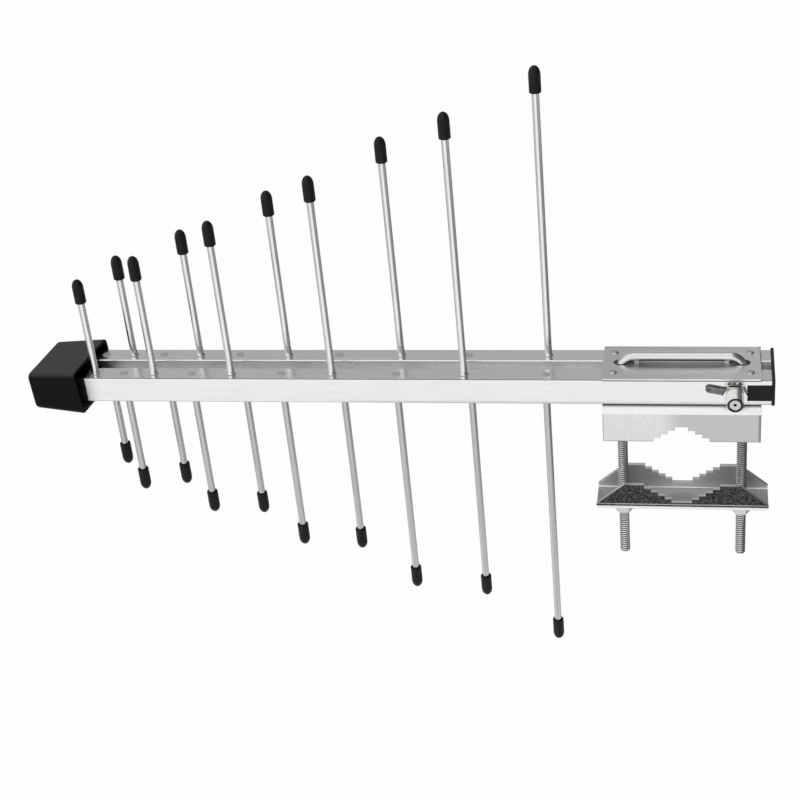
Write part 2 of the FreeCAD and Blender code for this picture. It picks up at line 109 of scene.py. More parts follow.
class Nodes:
    """A node tree, with short calls for the nodes that the finishes and the studio share."""

    def __init__(self, tree: bpy.types.NodeTree) -> None:
        """Keep the tree of a material or of the world."""
        self.tree = tree

    def add(self, kind: str, **values: object) -> bpy.types.Node:
        """Add a node and set its own properties.

        Args:
            kind: Blender's type name of the node.
            **values: Properties of the node.

        Returns:
            The new node.
        """
        node = self.tree.nodes.new(kind)
        for name, value in values.items():
            setattr(node, name, value)
        return node

    def link(self, source: Socket, target: Socket) -> None:
        """Join an output to an input."""
        self.tree.links.new(source, target)

    def ramp(self, source: Socket, band: Band, low: float = 0.0, high: float = 1.0) -> Socket:
        """Map a value smoothly from a band to a range of results and hold it at the ends.

        Args:
            source: Output to map.
            band: Values at which the ramp starts and ends.
            low: Result at the band's start.
            high: Result at the band's end.

        Returns:
            The mapped value.
        """
        node = self.add("ShaderNodeMapRange", interpolation_type="SMOOTHSTEP")
        for name, value in zip(("From Min", "From Max", "To Min", "To Max"), (*band, low, high)):
            node.inputs[name].default_value = value
        self.link(source, node.inputs["Value"])
        return node.outputs["Result"]

    def fall(self, source: Socket, band: Band) -> Socket:
        """Return 1 before a band of values and 0 behind it."""
        return self.ramp(source, band, 1.0, 0.0)

    def math(self, operation: str, first: Socket, second: Socket | float = 0.0) -> Socket:
        """Work out one arithmetic step.

        Args:
            operation: Blender's name of the operation.
            first: First operand.
            second: Second operand, an output or a plain number.

        Returns:
            The result.
        """
        node = self.add("ShaderNodeMath", operation=operation)
        self.link(first, node.inputs[0])
        if isinstance(second, Socket):
            self.link(second, node.inputs[1])
        else:
            node.inputs[1].default_value = second
        return node.outputs[0]

    def both(self, first: Socket, second: Socket) -> Socket:
        """Return the product of two values, which is 1 where both are 1."""
        return self.math("MULTIPLY", first, second)

    def size(self, source: Socket) -> Socket:
        """Return a value without its sign."""
        return self.math("ABSOLUTE", source)

    def away(self, source: Socket, middle: float) -> Socket:
        """Return how far a value is from a middle one."""
        return self.size(self.math("SUBTRACT", source, middle))

    def from_axis(self, first: Socket, second: Socket) -> Socket:
        """Return the distance from an axis, by the offsets along the two other axes."""
        squares = [self.math("POWER", offset, 2.0) for offset in (first, second)]
        return self.math("SQRT", self.math("ADD", *squares))

    def split(self, source: Socket) -> dict[str, Socket]:
        """Split a vector into its parts by axis."""
        node = self.add("ShaderNodeSeparateXYZ")
        self.link(source, node.inputs["Vector"])
        return {axis: node.outputs[axis] for axis in "XYZ"}


class NodeSheet(Nodes):
    """A material with one principled shader, and the calls that only a surface needs."""

    noise_middle = (0.3, 0.7)

    def __init__(self, name: str) -> None:
        """Start the material.

        Args:
            name: The material's name.
        """
        self.material = bpy.data.materials.new(name)
        self.material.use_nodes = True
        super().__init__(self.material.node_tree)
        self.shader = self.tree.nodes["Principled BSDF"]
        self.inputs = self.shader.inputs
        coordinates = self.add("ShaderNodeTexCoord")
        self.place = coordinates.outputs["Object"]
        self.normal = coordinates.outputs["Normal"]

    def axes(self) -> dict[str, Socket]:
        """Return the object's coordinates by axis."""
        return self.split(self.place)

    def way(self) -> dict[str, Socket]:
        """Return the direction that the surface faces, by axis."""
        return self.split(self.normal)

    def noise(self, scale: float, stretch: Point = (1.0, 1.0, 1.0), detail: float = 3.0) -> Socket:
        """Noise on the object's own coordinates.

        Args:
            scale: Cells per metre before stretching.
            stretch: Factor on the scale along each axis.
            detail: Octaves of the noise.

        Returns:
            The noise's value output.
        """
        mapping = self.add("ShaderNodeMapping")
        mapping.inputs["Scale"].default_value = stretch
        self.link(self.place, mapping.inputs["Vector"])
        texture = self.add("ShaderNodeTexNoise")
        texture.inputs["Scale"].default_value = scale
        texture.inputs["Detail"].default_value = detail
        self.link(mapping.outputs["Vector"], texture.inputs["Vector"])
        return texture.outputs["Fac"]

    def spread(self, source: Socket, low: float = 0.0, high: float = 1.0) -> Socket:
        """Map the middle of a noise to a range of values."""
        return self.ramp(source, self.noise_middle, low, high)

    def blend(self, factor: Socket, first: Color, second: Color) -> Socket:
        """Mix two colours by a factor.

        Args:
            factor: Output that says how much of the second colour shows.
            first: Colour at 0.
            second: Colour at 1.

        Returns:
            The mixed colour.
        """
        node = self.add("ShaderNodeMix", data_type="RGBA")
        for index, color in ((6, first), (7, second)):
            if isinstance(color, Socket):
                self.link(color, node.inputs[index])
            else:
                node.inputs[index].default_value = (*color, 1.0)
        self.link(factor, node.inputs["Factor"])
        return node.outputs[2]

    def layered(self, color: Socket, layers: Iterable[tuple[Socket, Color]]) -> Socket:
        """Lay colours over another one.

        Args:
            color: Colour underneath.
            layers: Factor and colour of each layer, from the lowest to the uppermost.

        Returns:
            The mixed colour.
        """
        for factor, over in layers:
            color = self.blend(factor, color, over)
        return color

    def bump(self, height: Socket, depth: float, strength: float) -> None:
        """Raise the surface by a height value.

        Args:
            height: Output that gives the height from 0 to 1.
            depth: Height of 1 in metres.
            strength: How much of the slope shows.
        """
        node = self.add("ShaderNodeBump")
        node.inputs["Strength"].default_value = strength
        node.inputs["Distance"].default_value = depth
        self.link(height, node.inputs["Height"])
        self.link(node.outputs["Normal"], self.inputs["Normal"])


@dataclass(frozen=True)
class MetalFinish:
    """A bare or plated metal surface with fine drawn lines and soft blotches."""

    name: str
    color: Point
    shade: Point
    roughness: Band
    grain: Grain = Grain.NONE
    line_scale: float = 2600.0
    blotch_scale: float = 90.0
    line_depth: float = 0.00001
    line_strength: float = 0.25
    streak_scale: float = 0.4

    def base_color(self, sheet: NodeSheet) -> Socket:
        """Mix the colour and its shade in soft blotches and along wider streaks of the lines."""
        blotch = sheet.spread(sheet.noise(self.blotch_scale, detail=4.0))
        streaks = sheet.spread(sheet.noise(self.line_scale * self.streak_scale, self.grain.value, 2.0))
        middle = sheet.math("MULTIPLY", sheet.math("ADD", blotch, streaks), 0.5)
        return sheet.blend(middle, self.color, self.shade)

    def bareness(self, sheet: NodeSheet) -> None:
        """Leave the surface bare metal all over."""
        sheet.inputs["Metallic"].default_value = 1.0

    def build(self) -> bpy.types.Material:
        """Make the material.

        Returns:
            The material, whose colour varies in blotches and whose gloss varies in lines.
        """
        sheet = NodeSheet(self.name)
        lines = sheet.noise(self.line_scale, self.grain.value, detail=2.0)
        sheet.link(self.base_color(sheet), sheet.inputs["Base Color"])
        sheet.link(sheet.spread(lines, *self.roughness), sheet.inputs["Roughness"])
        self.bareness(sheet)
        sheet.bump(lines, self.line_depth, self.line_strength)
        return sheet.material


@dataclass(frozen=True)
class TubeFinish(MetalFinish):
    """Drawn aluminium tubes with painted shade on their outer corners, their lower edge and between them,
    a black painted shadow at the cap's mouth, and less metallic patches that stand in for light.
    """

    # Painted shade: a dark line along the outer top corners, standing for a dark reflection there.
    corner_y: Band = (16.2 * MM, 16.5 * MM)
    corner_side: Band = (0.15, 0.32)
    corner_up: Band = (0.62, 0.76)
    corner: Point = (0.16, 0.16, 0.162)
    # Painted shade on the outer faces that face down.
    lower_up: Band = (-0.16, -0.08)
    lower_face_shade: Point = grey(0.50)
    inner_y: Band = (6 * MM, 6.5 * MM)
    inner_x: Band = (-300 * MM, -60 * MM)
    # Painted shade on the walls between the tubes, darker towards the front end.
    between_shade_front: Point = (0.80, 0.80, 0.802)
    between_shade_rear: Point = (0.875, 0.875, 0.877)
    # Less metal between the tubes inside the clamp lets the lamp brighten them: painted light.
    clamp_x: Band = (-46 * MM, -45 * MM)
    clamp_bare: float = 0.25
    # Painted shade: a darker band along the lower edge of the outer walls, towards the clamp end.
    foot_z: Band = (44.24 * MM, 46.44 * MM)
    foot_x: Band = (-220 * MM, -160 * MM)
    foot: Point = grey(0.70)
    front_y: Band = (-17.2 * MM, -16.8 * MM)
    # Less metal on the near front wall by the cap lets the lamp brighten it: painted light.
    cap_x: Band = (-352.2 * MM, -340.2 * MM)
    cap_bare: float = 0.35
    near_y: Band = (-1 * MM, 0.0)
    # Painted shadow of the cap: black on the near tube just inside the cap's mouth.
    cap_shadow_x: Band = (-352.6 * MM, -352.2 * MM)
    mouth: Point = grey(0.02)

    def between_tubes(self, sheet: NodeSheet) -> Socket:
        """Return 1 on the walls that face each other between the tubes, and 0 elsewhere."""
        facing = sheet.ramp(sheet.size(sheet.way()["Y"]), FACING)
        return sheet.both(facing, sheet.fall(sheet.size(sheet.axes()["Y"]), self.inner_y))

    def bareness(self, sheet: NodeSheet) -> None:
        """Leave the tubes bare, apart from less metallic patches between them inside the clamp and on the
        near front wall at the cap, where the lamp then brightens them as painted light.
        """
        place = sheet.axes()
        inside = sheet.ramp(place["X"], self.clamp_x, 0.0, 1.0 - self.clamp_bare)
        at_cap = sheet.ramp(place["X"], self.cap_x, 1.0 - self.cap_bare, 0.0)
        painted_light_between = sheet.both(self.between_tubes(sheet), inside)
        painted_light_at_cap = sheet.both(at_cap, sheet.fall(place["Y"], self.front_y))
        bare = sheet.fall(sheet.math("MAXIMUM", painted_light_between, painted_light_at_cap), WHOLE)
        sheet.link(bare, sheet.inputs["Metallic"])

    def base_color(self, sheet: NodeSheet) -> Socket:
        """Mix the metal with the painted shade of the walls between, the corners, the foot and the
        downward faces, and with the cap's painted shadow at the mouth.
        """
        place = sheet.axes()
        way = sheet.way()
        outer = sheet.ramp(sheet.size(place["Y"]), self.corner_y)
        inner = sheet.blend(sheet.ramp(place["X"], self.inner_x), self.between_shade_front, self.between_shade_rear)
        foot = sheet.both(sheet.fall(place["Z"], self.foot_z), sheet.ramp(place["X"], self.foot_x))
        tilted = sheet.both(sheet.ramp(sheet.size(way["Y"]), self.corner_side), outer)
        in_cap_shadow = sheet.both(sheet.fall(place["Y"], self.near_y), sheet.fall(place["X"], self.cap_shadow_x))
        layers = (
            (self.between_tubes(sheet), inner),
            (sheet.both(foot, outer), self.foot),
            (sheet.both(outer, sheet.fall(way["Z"], self.lower_up)), self.lower_face_shade),
            (sheet.both(tilted, sheet.ramp(way["Z"], self.corner_up)), self.corner),
            (in_cap_shadow, self.mouth),
        )
        return sheet.layered(super().base_color(sheet), layers)


@dataclass(frozen=True)
class RodFinish(MetalFinish):
    """Drawn aluminium rod, greyer below the booms as painted shade, and dull where it is hammered on top
    of them.
    """

    # Painted shade: the rods below the booms are greyer, as if the booms shaded them.
    below_z: Band = (42.6 * MM, 43.6 * MM)
    shade_below_share: float = 0.9
    shade_below_color: Point = (0.60, 0.60, 0.605)
    head_z: float = 59.8 * MM
    head_reach: Band = (0.2 * MM, 0.3 * MM)
    head_bare: float = 0.3
    head: Point = grey(0.36)

    def hammered(self, sheet: NodeSheet) -> Socket:
        """Return 1 on the peened heads and the collars' feet on top of the booms, and 0 elsewhere."""
        return sheet.fall(sheet.away(sheet.axes()["Z"], self.head_z), self.head_reach)

    def bareness(self, sheet: NodeSheet) -> None:
        """Leave the rods bare, apart from their hammered ends on top of the booms."""
        bare = sheet.ramp(self.hammered(sheet), WHOLE, 1.0, self.head_bare)
        sheet.link(bare, sheet.inputs["Metallic"])

    def base_color(self, sheet: NodeSheet) -> Socket:
        """Mix the metal with the painted shade below the booms by height, and with the colour of the
        hammered ends.
        """
        shade_below = sheet.ramp(sheet.axes()["Z"], self.below_z, self.shade_below_share, 0.0)
        metal = sheet.blend(shade_below, super().base_color(sheet), self.shade_below_color)
        return sheet.blend(self.hammered(sheet), metal, self.head)


@dataclass(frozen=True)
class PlateFinish(MetalFinish):
    """Flat steel sheet, paler towards its rear end, with a dark painted shadow low on its cut edges."""

    # The sheet's colour turns paler towards +X.
    rear_tone_x: Band = (-44.5 * MM, 44.5 * MM)
    rear_tone_share: float = 0.9
    rear_tone: Point = grey(0.97)
    # Painted shadow: the lower part of the cut edges is dark, like the gap's shadow under the sheet.
    edge_shadow_z: Band = (60.15 * MM, 60.3 * MM)
    edge_shadow: Point = grey(0.06)

    def base_color(self, sheet: NodeSheet) -> Socket:
        """Mix the sheet's colours by the distance along it and the painted shadow by height."""
        place = sheet.axes()
        along = sheet.ramp(place["X"], self.rear_tone_x, 0.0, self.rear_tone_share)
        metal = sheet.blend(along, super().base_color(sheet), self.rear_tone)
        return sheet.blend(sheet.fall(place["Z"], self.edge_shadow_z), metal, self.edge_shadow)


@dataclass(frozen=True)
class BracketFinish(MetalFinish):
    """Folded channel with a painted highlight on its bend, a band of painted shade and a dark painted
    shadow line over it, painted shade on its +X half and dark cut edges.
    """

    # Painted shade on the +X half of the wall.
    plus_x_shade_x: Band = (-12 * MM, 1 * MM)
    plus_x_shade_share: float = 0.9
    plus_x_shade: Point = grey(0.61)
    end_x: Band = (43.8 * MM, 44.1 * MM)
    foot_z: Band = (20.14 * MM, 20.44 * MM)
    cut_edge: Point = grey(0.50)
    rear_x: Band = (42.3 * MM, 43.9 * MM)
    rear_edge: Point = grey(0.31)
    # Painted light on the bend, by how far it faces up: a highlight, a band of shade and a dark shadow
    # line next to the boom.
    highlight_up: Band = (0.04, 0.10)
    bend_highlight: Point = grey(0.95)
    shoulder_up: Band = (0.66, 0.74)
    shoulder_shade: Point = grey(0.56)
    crease_up: Band = (0.79, 0.84)
    crease_shadow: Point = grey(0.22)

    def base_color(self, sheet: NodeSheet) -> Socket:
        """Mix the wall's metal with painted shade on its +X half, the cut edges, and the bend's painted
        highlight, shade and shadow bands, by how far they face up.
        """
        place = sheet.axes()
        upward = sheet.way()["Z"]
        cut = sheet.ramp(sheet.size(place["X"]), self.end_x)
        layers = (
            (sheet.ramp(place["X"], self.plus_x_shade_x, 0.0, self.plus_x_shade_share), self.plus_x_shade),
            (sheet.math("MAXIMUM", cut, sheet.fall(place["Z"], self.foot_z)), self.cut_edge),
            (sheet.ramp(place["X"], self.rear_x), self.rear_edge),
            (sheet.ramp(upward, self.highlight_up), self.bend_highlight),
            (sheet.ramp(upward, self.shoulder_up), self.shoulder_shade),
            (sheet.ramp(upward, self.crease_up), self.crease_shadow),
        )
        return sheet.layered(super().base_color(sheet), layers)


@dataclass(frozen=True)
class ShadeFlakedSheetFinish(MetalFinish):
    """Folded sheet with dark flaky painted shade outside its walls, a dull floor and a painted highlight
    on the bend.
    """

    wing_x: Band = (37 * MM, 40 * MM)
    wing_share: float = 0.9
    wing: Point = grey(0.66)
    bend_z: Band = (-30.9 * MM, -30.4 * MM)
    # Painted highlight along the bottom bend.
    bottom_highlight: Point = grey(0.97)
    floor_z: Band = (-30.4 * MM, -30 * MM)
    floor: Point = grey(0.52)
    wall_y: Band = (11.65 * MM, 11.92 * MM)
    # A thin painted highlight line just above the bend, where the painted shade thins out.
    highlight_z: float = -29.2 * MM
    highlight_reach: Band = (0.1 * MM, 0.45 * MM)
    highlight_cover: float = 0.35
    flake_scale: float = 820.0
    flake_stretch: Point = (0.7, 1.0, 1.0)
    flake_detail: float = 8.0
    flake_band: Band = (0.36, 0.66)
    # Colours of the flaky painted shade outside the walls.
    shade_flake_dark: Point = (0.018, 0.018, 0.019)
    shade_flake_light: Point = (0.115, 0.115, 0.117)

    def wall_shade_mask(self, sheet: NodeSheet) -> Socket:
        """Return 1 where painted shade covers the walls' outsides, less along a painted highlight line,
        and 0 elsewhere.
        """
        place = sheet.axes()
        wall = sheet.ramp(sheet.size(place["Y"]), self.wall_y)
        above = sheet.ramp(place["Z"], self.bend_z)
        from_line = sheet.away(place["Z"], self.highlight_z)
        bend_highlight = sheet.ramp(from_line, self.highlight_reach, self.highlight_cover, 1.0)
        return sheet.both(sheet.both(wall, above), bend_highlight)

    def base_color(self, sheet: NodeSheet) -> Socket:
        """Mix the metal, its wings, the bend's painted highlight and floor, and the flaky painted shade
        outside the walls.
        """
        place = sheet.axes()
        flakes = sheet.noise(self.flake_scale, self.flake_stretch, self.flake_detail)
        # Flaky painted shade for the walls' outsides.
        scale = sheet.blend(sheet.ramp(flakes, self.flake_band), self.shade_flake_light, self.shade_flake_dark)
        upward = sheet.ramp(sheet.way()["Z"], FACING)
        layers = (
            (sheet.ramp(sheet.size(place["X"]), self.wing_x, 0.0, self.wing_share), self.wing),
            (sheet.fall(place["Z"], self.bend_z), self.bottom_highlight),
            (sheet.both(upward, sheet.fall(place["Z"], self.floor_z)), self.floor),
            (self.wall_shade_mask(sheet), scale),
        )
        return sheet.layered(super().base_color(sheet), layers)


@dataclass(frozen=True)
class BoltFinish(MetalFinish):
    """Bright zinc, darker in the threads' grooves, with a painted dark reflection in a line along the bar
    and painted shade under the bar.
    """

    leg_x: float = 34.5 * MM
    thread_z: Band = (25.1 * MM, 25.4 * MM)
    groove_radius: Band = (2.35 * MM, 3 * MM)
    groove: Point = grey(0.13)
    bar_z: Band = (61.5 * MM, 62 * MM)
    # Painted reflection: a darker line along the bar where it faces up at one angle, and painted shade
    # under it.
    reflection_up: float = 0.55
    reflection_reach: Band = (0.02, 0.12)
    bar_dark_reflection: Point = grey(0.56)
    under_up: Band = (-0.30, 0.16)
    under_shade: Point = grey(0.38)

    def base_color(self, sheet: NodeSheet) -> Socket:
        """Mix the zinc, the bar's painted reflection line and painted shade underneath, and the grooves'
        colour round each leg's axis.
        """
        place = sheet.axes()
        upward = sheet.way()["Z"]
        on_bar = sheet.ramp(place["Z"], self.bar_z)
        on_reflection = sheet.fall(sheet.away(upward, self.reflection_up), self.reflection_reach)
        aside = sheet.math("SUBTRACT", sheet.size(place["X"]), self.leg_x)
        deep = sheet.fall(sheet.from_axis(aside, place["Y"]), self.groove_radius)
        layers = (
            (sheet.both(on_reflection, on_bar), self.bar_dark_reflection),
            (sheet.both(sheet.fall(upward, self.under_up), on_bar), self.under_shade),
            (sheet.both(deep, sheet.fall(place["Z"], self.thread_z)), self.groove),
        )
        return sheet.layered(super().base_color(sheet), layers)


@dataclass(frozen=True)
class SocketFinish(MetalFinish):
    """Nickel plate with a dark ring of painted shade round the socket's mouth and a dull flange."""

    flange_y: Band = (-21.2 * MM, -21 * MM)
    flange: Point = (0.52, 0.515, 0.51)
    # Painted shade: a dark ring at the barrel's mouth, whose face would otherwise mirror the pale floor.
    ring_y: Band = (-30.7 * MM, -30.55 * MM)
    ring: Point = (0.035, 0.034, 0.033)

    def base_color(self, sheet: NodeSheet) -> Socket:
        """Mix the nickel, the flange's colour and the ring's painted shade by the distance from the mouth.
        """
        across = sheet.axes()["Y"]
        on_flange = sheet.ramp(across, self.flange_y)
        nickel = sheet.blend(on_flange, super().base_color(sheet), self.flange)
        return sheet.blend(sheet.fall(across, self.ring_y), nickel, self.ring)


@dataclass(frozen=True)
class MouldedFinish:
    """Moulded plastic or rubber with a fine texture, which may be painted paler where it faces up, as a
    painted sheen from the light above.
    """

    name: str
    color: Point
    shade: Point
    roughness: Band
    grain_scale: float = 1800.0
    grain_depth: float = 0.00004
    grain_strength: float = 0.3
    slow_scale: float = 70.0
    specular: float = 0.5
    # Painted sheen: what faces up is paler, as if it mirrored the light above.
    top_sheen_up: Band = (0.35, 0.95)
    top_sheen: Point | None = None

    def base_color(self, sheet: NodeSheet, slow: Socket) -> Socket:
        """Mix the colour and its shade by a slow noise, and paint a paler sheen on what faces up."""
        color = sheet.blend(sheet.spread(slow), self.color, self.shade)
        if not self.top_sheen:
            return color
        upward = sheet.ramp(sheet.way()["Z"], self.top_sheen_up)
        return sheet.blend(upward, color, self.top_sheen)

    def build(self) -> bpy.types.Material:
        """Make the material.

        Returns:
            The material, with a fine bump and slow changes of colour and gloss.
        """
        sheet = NodeSheet(self.name)
        slow = sheet.noise(self.slow_scale, detail=3.0)
        grain = sheet.noise(self.grain_scale, detail=4.0)
        sheet.link(self.base_color(sheet, slow), sheet.inputs["Base Color"])
        sheet.link(sheet.spread(slow, *self.roughness), sheet.inputs["Roughness"])
        sheet.inputs["Specular IOR Level"].default_value = self.specular
        sheet.bump(grain, self.grain_depth, self.grain_strength)
        return sheet.material


@dataclass(frozen=True)
class InsulatorFinish(MouldedFinish):
    """Moulded insulator with a dark painted shade round the hole for the contact."""

    hole_x: float = 29.7 * MM
    hole_z: float = 51.64 * MM
    # Painted shade round the contact's hole, which makes the hole look wider and darker.
    hole_shade_radius: Band = (0.9 * MM, 1 * MM)
    hole_shade: Point = grey(0.01)

    def base_color(self, sheet: NodeSheet, slow: Socket) -> Socket:
        """Mix the insulator's colour and the hole's painted shade by the distance from the hole's axis."""
        place = sheet.axes()
        aside = sheet.math("SUBTRACT", place["X"], self.hole_x)
        above = sheet.math("SUBTRACT", place["Z"], self.hole_z)
        near = sheet.fall(sheet.from_axis(aside, above), self.hole_shade_radius)
        return sheet.blend(near, super().base_color(sheet, slow), self.hole_shade)


BOOM_METAL = TubeFinish(
    "boom_aluminium", (0.95, 0.945, 0.945), (0.90, 0.90, 0.905), (0.20, 0.30), Grain.ALONG_X, 3000.0, 14.0,
    line_strength=0.1,
)
ROD_METAL = RodFinish(
    "rod_aluminium", (0.95, 0.95, 0.955), (0.87, 0.87, 0.88), (0.18, 0.28), Grain.ALONG_Z, 3600.0, 60.0,
    line_strength=0.1,
)
PLATE_STEEL = PlateFinish(
    "plate_steel", grey(0.86), (0.80, 0.80, 0.805), (0.28, 0.40), Grain.ALONG_X, 2600.0, 60.0
)
RIVET_STEEL = MetalFinish(
    "plate_steel", grey(0.68), grey(0.60), (0.42, 0.52), Grain.NONE, 1500.0, 400.0
)
BRACKET_STEEL = BracketFinish(
    "bracket_steel", (0.90, 0.895, 0.89), grey(0.80), (0.26, 0.38), Grain.NONE, 1500.0, 900.0,
    line_depth=0.00002, line_strength=0.3,
)
JAW_STEEL = ShadeFlakedSheetFinish(
    "bracket_steel", (0.94, 0.94, 0.935), grey(0.84), (0.34, 0.48), Grain.NONE, 1500.0, 900.0,
    line_depth=0.00002, line_strength=0.3,
)
BRIGHT_ZINC = BoltFinish(
    "bright_zinc", (0.88, 0.88, 0.885), (0.78, 0.78, 0.79), (0.14, 0.24), Grain.NONE, 1800.0, 120.0
)
NICKEL = SocketFinish(
    "nickel_plate", (0.86, 0.845, 0.83), (0.76, 0.745, 0.73), (0.12, 0.20), Grain.NONE, 1600.0, 500.0
)
TINNED = MetalFinish(
    "tinned_brass", (0.26, 0.26, 0.255), (0.15, 0.15, 0.148), (0.30, 0.44), Grain.NONE, 1500.0, 900.0
)
# Near black and dull: painted shade, so that the centre contact shows as a dark dot.
CONTACT = MouldedFinish(
    "contact_metal", (0.008, 0.007, 0.006), (0.012, 0.011, 0.010), (0.40, 0.50), 1500.0, specular=0.1
)
BLACK_PLASTIC = MouldedFinish(
    "black_plastic", (0.003, 0.003, 0.0032), (0.0055, 0.0055, 0.0057), (0.40, 0.50), 1500.0, specular=0.08,
    top_sheen=(0.038, 0.038, 0.039),
)
PLUG_PLASTIC = MouldedFinish(
    "black_plastic", (0.014, 0.014, 0.0145), (0.018, 0.018, 0.0185), (0.34, 0.44), 1500.0, specular=0.15,
    top_sheen=(0.017, 0.017, 0.018),
)
BLACK_RUBBER = MouldedFinish(
    "black_rubber", (0.007, 0.007, 0.008), (0.011, 0.011, 0.012), (0.36, 0.44), 2200.0, specular=0.2
)
INSULATOR = InsulatorFinish(
    "white_insulator", (0.96, 0.96, 0.95), (0.92, 0.92, 0.91), (0.30, 0.40), 900.0
)
JACKET = MouldedFinish(
    "cable_jacket", (0.72, 0.72, 0.70), (0.64, 0.64, 0.62), (0.40, 0.50), 900.0
)
FINISHES = (
    BOOM_METAL, ROD_METAL, PLATE_STEEL, BRACKET_STEEL, BRIGHT_ZINC, NICKEL, TINNED, CONTACT,
    BLACK_PLASTIC, BLACK_RUBBER, INSULATOR, JACKET,
)
OWN_FINISHES = (JAW_STEEL, RIVET_STEEL, PLUG_PLASTIC)
Finish = MetalFinish | MouldedFinish


class Bench:
    """Mesh work that every sub-assembly uses: turning, cutting, rounding and dressing."""

    turn_steps = 20
    weld = 0.002 * MM
    loose = 0.001 * MM
    saw_reach = 0.0001 * MM
    flat_angle = 1.0
    thread_angle = 25.0
    turned_angle = 40.0
    edge_segments = 2
    edge_angle = 35.0
    rim_segments = 4

    def __init__(self, frame: dict) -> None:
        """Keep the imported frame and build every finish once.
        """
        self.nodes = frame["nodes"]
        self.slots = {row["node"]: row["material_slot"] for row in frame["record"]["subparts"]}
        self.jaw_nodes = frame["record"]["behaviour"]["bodies"]["jaw"]
        self.finishes = {finish.name: finish for finish in FINISHES}
        self.materials = {finish: finish.build() for finish in (*FINISHES, *OWN_FINISHES)}

    @staticmethod
    def select_only(piece: Piece) -> None:
        """Make one object the selected and active one."""
        bpy.ops.object.select_all(action="DESELECT")
        piece.select_set(True)
        bpy.context.view_layer.objects.active = piece

    @contextmanager
    def editing(self, piece: Piece) -> Iterator[None]:
        """Hold a piece in edit mode with its whole mesh selected."""
        self.select_only(piece)
        bpy.ops.object.mode_set(mode="EDIT")
        bpy.ops.mesh.select_all(action="SELECT")
        yield
        bpy.ops.object.mode_set(mode="OBJECT")

    def modified(self, piece: Piece, kind: str, **values: object) -> None:
        """Add a modifier to a piece, set it and apply it.

        Args:
            piece: The piece.
            kind: Blender's type name of the modifier.
            **values: Properties of the modifier.
        """
        self.select_only(piece)
        step = piece.modifiers.new(kind, kind)
        for name, value in values.items():
            setattr(step, name, value)
        bpy.ops.object.modifier_apply(modifier=step.name)

    def polyline(self, name: str, points: list[Point]) -> Piece:
        """Draw a chain of edges by extruding one vertex.

        Args:
            name: Name of the new object.
            points: Corners of the chain.

        Returns:
            An object with the chain as its mesh.
        """
        bpy.ops.object.select_all(action="DESELECT")
        bpy.ops.mesh.primitive_plane_add(size=MM)
        piece = bpy.context.object
        piece.name = name
        with self.editing(piece):
            bpy.ops.mesh.merge(type="CENTER")
            bpy.ops.transform.translate(value=points[0])
            for start, end in zip(points, points[1:]):
                step = Vector(end) - Vector(start)
                bpy.ops.mesh.extrude_region_move(TRANSFORM_OT_translate={"value": step})
        return piece

    def turned(self, name: str, stations: list[Band], sides: int = 40) -> Piece:
        """Turn an outline about Z, as on a lathe.

        Args:
            name: Name of the new object.
            stations: Radius and height of each corner, from one end to the other.
            sides: Number of steps round the axis.

        Returns:
            The turned piece.
        """
        piece = self.polyline(name, [(radius, 0.0, height) for radius, height in stations])
        with self.editing(piece):
            bpy.ops.mesh.spin(steps=sides, angle=math.tau, center=(0, 0, 0), axis=(0, 0, 1))
            self.close_up()
        return piece

    @staticmethod
    def close_up() -> None:
        """Merge doubles and turn every face outwards, in edit mode."""
        bpy.ops.mesh.select_all(action="SELECT")
        bpy.ops.mesh.remove_doubles(threshold=Bench.weld)
        bpy.ops.mesh.normals_make_consistent(inside=False)

    def sawn(self, piece: Piece, height: float, dropped: Way) -> None:
        """Saw a closed piece through, across Z.

        Args:
            piece: The piece.
            height: Height of the cut.
            dropped: Way from the cut to the side that is dropped.
        """
        with self.editing(piece):
            bpy.ops.mesh.bisect(
                plane_co=(0.0, 0.0, height), plane_no=(0.0, 0.0, dropped.value), use_fill=True,
                clear_outer=True, threshold=self.saw_reach,
            )
            self.close_up()

    def cut_by(self, piece: Piece, tool: Piece) -> None:
        """Take a tool solid away from a piece and use the tool up."""
        self.modified(piece, "BOOLEAN", operation="DIFFERENCE", solver="EXACT", object=tool)
        bpy.data.objects.remove(tool)

    def threaded(self, name: str, crest: float, root: float, pitch: float, length: float) -> Piece:
        """Wind a screw thread along Z from zero height, with a chamfer at its far end.

        The pitch is trimmed to a whole number of turns, and the winding starts a little below
        zero, so that neither saw cut runs through a corner of the thread.

        Args:
            name: Name of the new object.
            crest: Outer radius.
            root: Radius at the bottom of the groove.
            pitch: Rise in one turn.
            length: Length of the thread.

        Returns:
            The closed threaded bar.
        """
        turns = round(length / pitch)
        pitch = length / turns
        flat = pitch / 8
        rise = (pitch - 2 * flat) / 2
        steps = ((root, 0.0), (root, flat), (crest, flat + rise), (crest, 2 * flat + rise), (root, pitch))
        start = -pitch - pitch / (4 * self.turn_steps)
        piece = self.polyline(name, [(radius, 0.0, start + height) for radius, height in steps])
        self.modified(
            piece, "SCREW", axis="Z", angle=math.tau, screw_offset=pitch, iterations=turns + 2,
            steps=self.turn_steps, render_steps=self.turn_steps,
        )
        with self.editing(piece):
            self.close_up()
        self.sawn(piece, length, Way.UP)
        self.sawn(piece, 0.0, Way.DOWN)
        margin = 0.1 * MM
        inner, outer, far = root - margin, crest + margin, crest + 10 * margin
        foot = length - (outer - inner)
        top = length + margin
        outline = [(outer, foot), (inner, length), (inner, top), (far, top), (far, foot), (outer, foot)]
        ring = self.turned(name + "_chamfer", outline)
        self.cut_by(piece, ring)
        return piece

    def copy_of(self, piece: Piece, name: str) -> Piece:
        """Copy an object with a mesh of its own."""
        twin = bpy.data.objects.new(name, piece.data.copy())
        bpy.context.collection.objects.link(twin)
        return twin

